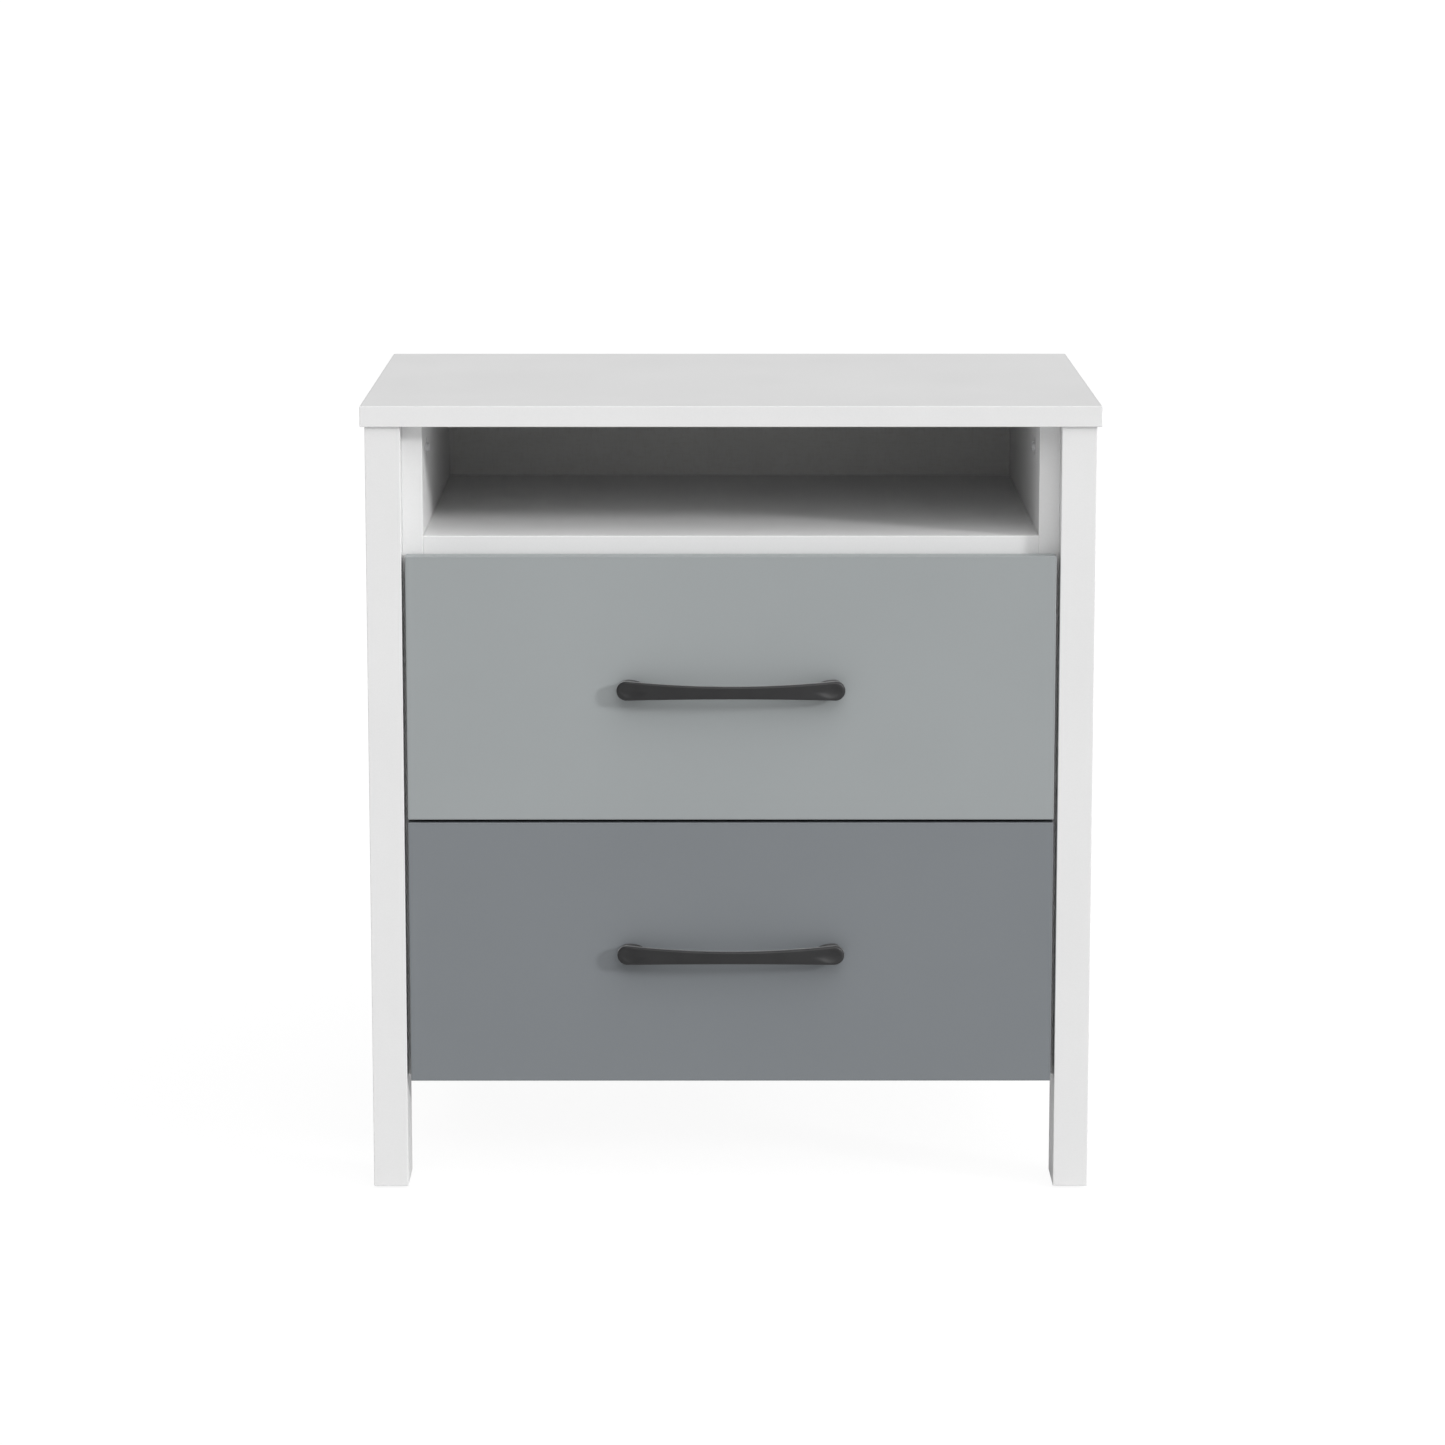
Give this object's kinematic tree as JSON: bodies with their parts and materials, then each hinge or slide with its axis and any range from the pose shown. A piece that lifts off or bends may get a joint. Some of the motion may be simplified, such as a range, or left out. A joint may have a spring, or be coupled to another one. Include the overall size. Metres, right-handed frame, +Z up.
{
  "type": "nightstand",
  "caption": "White bedside cabinet on outer slab legs, with an open compartment under the top and grey drawers on roller slides with black bow handles.",
  "frame": {"origin": "on the floor, in the middle of the width and of the depth over the handles", "axes": "+Z up, -Y towards the drawer fronts, +X to the right seen from the front"},
  "size_m": [0.57, 0.419, 0.621],
  "materials": {
    "white_laminate": "matt white melamine-faced chipboard, banded edges",
    "white_leg": "matt white foil on board",
    "white_hardboard": "hardboard, painted white on the visible side",
    "light_grey_laminate": "matt light grey melamine-faced chipboard",
    "dark_grey_laminate": "matt mid grey melamine-faced chipboard, bluer and darker",
    "drawer_board": "white foil-wrapped board",
    "black_metal": "matt black powder coat on die-cast metal",
    "white_steel": "white epoxy-coated rolled steel",
    "zinc_steel": "zinc-plated steel",
    "cam_zinc": "raw die-cast zinc alloy",
    "nylon": "white nylon",
    "beech": "fluted beech dowel",
    "glide_plastic": "hard off-white plastic"
  },
  "bodies": {
    "cabinet": {"top_panel": "white_laminate", "shelf_panel": "white_laminate", "bottom_panel": "white_laminate", "back_panel": "white_hardboard", "left_side_panel": "white_laminate", "right_side_panel": "white_laminate", "front_left_leg": "white_leg", "front_right_leg": "white_leg", "rear_left_leg": "white_leg", "rear_right_leg": "white_leg", "foot_glides": "glide_plastic", "cam_bolts": "zinc_steel", "cam_locks": "cam_zinc", "wood_dowels": "beech", "leg_screws": "zinc_steel", "back_panel_nails": "zinc_steel", "upper_left_cabinet_rail": "white_steel", "upper_right_cabinet_rail": "white_steel", "lower_left_cabinet_rail": "white_steel", "lower_right_cabinet_rail": "white_steel", "cabinet_rail_screws": "zinc_steel", "cabinet_roller_rivets": "zinc_steel"},
    "upper_drawer": {"upper_drawer_front": "light_grey_laminate", "upper_drawer_left_side": "drawer_board", "upper_drawer_right_side": "drawer_board", "upper_drawer_back": "drawer_board", "upper_drawer_bottom": "white_hardboard", "upper_drawer_handle": "black_metal", "upper_drawer_handle_screws": "zinc_steel", "upper_drawer_left_rail": "white_steel", "upper_drawer_right_rail": "white_steel", "upper_drawer_cam_bolts": "zinc_steel", "upper_drawer_cam_locks": "cam_zinc", "upper_drawer_back_screws": "zinc_steel", "upper_drawer_rail_screws": "zinc_steel", "upper_drawer_roller_rivets": "zinc_steel"},
    "upper_left_cabinet_roller": {"upper_left_cabinet_roller": "nylon"},
    "upper_drawer_left_roller": {"upper_drawer_left_roller": "nylon"},
    "upper_right_cabinet_roller": {"upper_right_cabinet_roller": "nylon"},
    "upper_drawer_right_roller": {"upper_drawer_right_roller": "nylon"},
    "lower_drawer": {"lower_drawer_front": "dark_grey_laminate", "lower_drawer_left_side": "drawer_board", "lower_drawer_right_side": "drawer_board", "lower_drawer_back": "drawer_board", "lower_drawer_bottom": "white_hardboard", "lower_drawer_handle": "black_metal", "lower_drawer_handle_screws": "zinc_steel", "lower_drawer_left_rail": "white_steel", "lower_drawer_right_rail": "white_steel", "lower_drawer_cam_bolts": "zinc_steel", "lower_drawer_cam_locks": "cam_zinc", "lower_drawer_back_screws": "zinc_steel", "lower_drawer_rail_screws": "zinc_steel", "lower_drawer_roller_rivets": "zinc_steel"},
    "lower_left_cabinet_roller": {"lower_left_cabinet_roller": "nylon"},
    "lower_drawer_left_roller": {"lower_drawer_left_roller": "nylon"},
    "lower_right_cabinet_roller": {"lower_right_cabinet_roller": "nylon"},
    "lower_drawer_right_roller": {"lower_drawer_right_roller": "nylon"}
  },
  "joints": [
    {"name": "upper_drawer_slide", "type": "slide", "parent": "cabinet", "child": "upper_drawer", "axis": [0, -1, 0], "range_m": [0, 0.26]},
    {"name": "upper_left_cabinet_roller_spin", "type": "hinge", "parent": "cabinet", "child": "upper_left_cabinet_roller", "pos_m": [-0.2335, -0.1545, 0.3352], "axis": [1, 0, 0], "range_deg": [0, 1670]},
    {"name": "upper_drawer_left_roller_spin", "type": "hinge", "parent": "upper_drawer", "child": "upper_drawer_left_roller", "pos_m": [-0.23345, 0.163, 0.3318], "axis": [1, 0, 0], "range_deg": [0, 1670]},
    {"name": "upper_right_cabinet_roller_spin", "type": "hinge", "parent": "cabinet", "child": "upper_right_cabinet_roller", "pos_m": [0.2335, -0.1545, 0.3352], "axis": [1, 0, 0], "range_deg": [0, 1670]},
    {"name": "upper_drawer_right_roller_spin", "type": "hinge", "parent": "upper_drawer", "child": "upper_drawer_right_roller", "pos_m": [0.23345, 0.163, 0.3318], "axis": [1, 0, 0], "range_deg": [0, 1670]},
    {"name": "lower_drawer_slide", "type": "slide", "parent": "cabinet", "child": "lower_drawer", "axis": [0, -1, 0], "range_m": [0, 0.26]},
    {"name": "lower_left_cabinet_roller_spin", "type": "hinge", "parent": "cabinet", "child": "lower_left_cabinet_roller", "pos_m": [-0.2335, -0.1545, 0.1257], "axis": [1, 0, 0], "range_deg": [0, 1670]},
    {"name": "lower_drawer_left_roller_spin", "type": "hinge", "parent": "lower_drawer", "child": "lower_drawer_left_roller", "pos_m": [-0.23345, 0.163, 0.1223], "axis": [1, 0, 0], "range_deg": [0, 1670]},
    {"name": "lower_right_cabinet_roller_spin", "type": "hinge", "parent": "cabinet", "child": "lower_right_cabinet_roller", "pos_m": [0.2335, -0.1545, 0.1257], "axis": [1, 0, 0], "range_deg": [0, 1670]},
    {"name": "lower_drawer_right_roller_spin", "type": "hinge", "parent": "lower_drawer", "child": "lower_drawer_right_roller", "pos_m": [0.23345, 0.163, 0.1223], "axis": [1, 0, 0], "range_deg": [0, 1670]}
  ],
  "couplings": [
    {"joint": "upper_left_cabinet_roller_spin", "follows": "upper_drawer_slide", "rad_per_m": 111.11},
    {"joint": "upper_drawer_left_roller_spin", "follows": "upper_drawer_slide", "rad_per_m": 111.11},
    {"joint": "upper_right_cabinet_roller_spin", "follows": "upper_drawer_slide", "rad_per_m": 111.11},
    {"joint": "upper_drawer_right_roller_spin", "follows": "upper_drawer_slide", "rad_per_m": 111.11},
    {"joint": "lower_left_cabinet_roller_spin", "follows": "lower_drawer_slide", "rad_per_m": 111.11},
    {"joint": "lower_drawer_left_roller_spin", "follows": "lower_drawer_slide", "rad_per_m": 111.11},
    {"joint": "lower_right_cabinet_roller_spin", "follows": "lower_drawer_slide", "rad_per_m": 111.11},
    {"joint": "lower_drawer_right_roller_spin", "follows": "lower_drawer_slide", "rad_per_m": 111.11}
  ]
}
